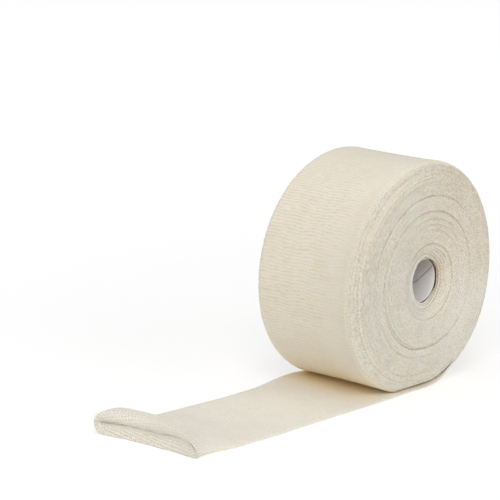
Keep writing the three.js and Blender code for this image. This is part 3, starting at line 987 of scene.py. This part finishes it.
def core_card():
    """Strip-wound card: pale grey paper inside with its slanting butt joint, brown at the ends.
    The lining has painted shade high up in the bore, and is greyer just past the joint."""
    graph = Graph("core_card")
    x, y, z = graph.place("object")
    dy, dz = y - CORE_Y * MM, z - CORE_Z * MM
    radius = graph.math("SQRT", dy * dy + dz * dz)
    angle = graph.math("ARCTAN2", dy, dz) * (180 / math.pi)
    turn = (angle - JOINT_ANGLE + (x / MM - JOINT_X) * JOINT_TURN) / 360.0
    part = graph.math("FRACT", turn + 100.5)
    joint = graph.span(graph.math("ABSOLUTE", part - 0.5), 0.0, 0.006, 1.0, 0.0)
    lap = graph.span(part, 0.5, 0.9)
    lining_to = CORE_INNER + 0.12
    inside = graph.span(radius, (lining_to - 0.06) * MM, lining_to * MM, 1.0, 0.0)
    fibre = graph.noise(1500, 4.0, 0.6)
    # Painted shade high up in the bore.
    painted_shade_high = graph.span(dz, -0.3 * CORE_OUTER * MM, 0.85 * CORE_OUTER * MM)
    paper = graph.blend(fibre * 0.2 + lap * 0.1 + painted_shade_high * 0.75, *LINING_TINTS)
    paper = graph.blend(joint * 0.26, paper, JOINT_TINT)
    board = graph.blend(fibre, *BOARD_TINTS)
    colour = graph.blend(inside, board, paper)
    height = fibre * 0.08 - joint * inside * 0.5
    return graph.finish(colour, 0.75, height, 1.0 * MM, {"Specular IOR Level": 0.3})


def table_top():
    """A plain pale table that glows a little as painted light, and more so away from the roll."""
    graph = Graph("table_paint")
    x, y, _ = graph.place("object")
    # Painted light: the table glows, less near the roll.
    away = graph.span(graph.math("SQRT", x * x + y * y), 0.10, 0.80)
    glow = graph.blend(away, (0.50, 0.50, 0.50, 1), (0.72, 0.72, 0.72, 1))
    tone = graph.noise(3)
    settings = {"Specular IOR Level": 0.1, "Emission Color": glow, "Emission Strength": 1.0}
    return graph.finish((0.6, 0.6, 0.6, 1), 0.9, tone, 0.1 * MM, settings)


def add_table():
    """The surface that the roll stands on."""
    corners = [(-3.0, -3.0, 0.0), (3.0, -3.0, 0.0), (3.0, 3.0, 0.0), (-3.0, 3.0, 0.0)]
    mesh = bpy.data.meshes.new("table_top")
    mesh.from_pydata(corners, [], [(0, 1, 2, 3)])
    mesh.materials.append(table_top())
    obj = put_in_scene("table_top", mesh)


# The camera: its place in metres, its azimuth, pitch and roll in degrees, and its lens on a
# sensor 36 mm wide.
CAMERA_PLACE = (0.702663, -0.874634, 0.325520)
CAMERA_ANGLES = (41.981, 13.096, 0.489)
CAMERA_LENS = 167.39

# The soft boxes, all turned to one spot: place and size in metres, and power in watts. ALL_ROUND
# is the strength of the even light.
LIGHT_AIM = (0, -0.04, 0.05)
SOFT_BOXES = {
    "box_main": ((0.75, -0.95, 1.2), 0.9, 10.2),
    "box_side": ((1.3, 0.2, 0.8), 0.9, 2.5),
    "box_top": ((0.0, 0.0, 1.5), 0.9, 4.5),
    "box_low": ((-0.2, -1.3, 0.45), 0.7, 1.0),
    "box_left": ((-0.9, -0.9, 1.0), 0.9, 0.8),
    "box_far_left": ((-0.9, -1.1, 0.3), 0.7, 0.8),
}
ALL_ROUND = 0.34


def add_camera():
    """The camera at the photograph's viewing angle."""
    azimuth, pitch, roll = (math.radians(degrees) for degrees in CAMERA_ANGLES)
    camera = bpy.data.cameras.new("camera")
    camera.sensor_width = 36.0
    camera.lens = CAMERA_LENS
    camera.clip_start, camera.clip_end = 0.05, 20.0
    obj = put_in_scene("camera", camera)
    upright = Matrix.Rotation(azimuth, 4, "Z") @ Matrix.Rotation(math.pi / 2 - pitch, 4, "X")
    obj.matrix_world = Matrix.Translation(CAMERA_PLACE) @ upright @ Matrix.Rotation(roll, 4, "Z")
    bpy.context.scene.camera = obj


def add_light(name, place, size, power):
    """A square soft box at place, turned to where all of them aim."""
    light = bpy.data.lights.new(name, "AREA")
    light.shape, light.size, light.energy = "SQUARE", size, power
    obj = put_in_scene(name, light)
    back = unit(np.subtract(place, LIGHT_AIM))
    side = unit(np.cross([0, 1, 0], back))
    up = np.cross(back, side)
    obj.matrix_world = Matrix([[side[i], up[i], back[i], place[i]] for i in range(3)] + [[0, 0, 0, 1]])


def light_scene():
    """Soft studio light from the boxes, and even white light from all round."""
    scene = bpy.context.scene
    scene.view_settings.view_transform = "Standard"
    scene.world = bpy.data.worlds.new("studio")
    scene.world.use_nodes = True
    shade = scene.world.node_tree.nodes["Background"]
    shade.inputs["Color"].default_value = (1, 1, 1, 1)
    shade.inputs["Strength"].default_value = ALL_ROUND
    for name, (place, size, power) in SOFT_BOXES.items():
        add_light(name, place, size, power)


add_camera()
skin = outer_turn(gauze("gauze_skin", ROLL_TINTS, 0.03, 0.05, 0.08))
near_face = turn_edges("near_turn_edges", 1, NEAR_OUT, FACE_RINGS, 31, edge_gauze("gauze_edges"))
far_face = turn_edges("far_turn_edges", -1, FAR_OUT, FAR_RINGS, 41, edge_gauze("gauze_far_edges"))
core = card_core(core_card())
tail, tail_points = loose_end(gauze("gauze_loose", LOOSE_TINTS, 0.03, 0.08, 0.10, glow=0.12))
yarns = yarn_ends(tail_points, gauze("gauze_yarn", LOOSE_TINTS, 0.02, 0.05, 0.1))

for cloth_piece in (skin, near_face, far_face):
    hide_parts("wound_roll")
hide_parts("core_tube")
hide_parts("loose_end")

add_table()
light_scene()
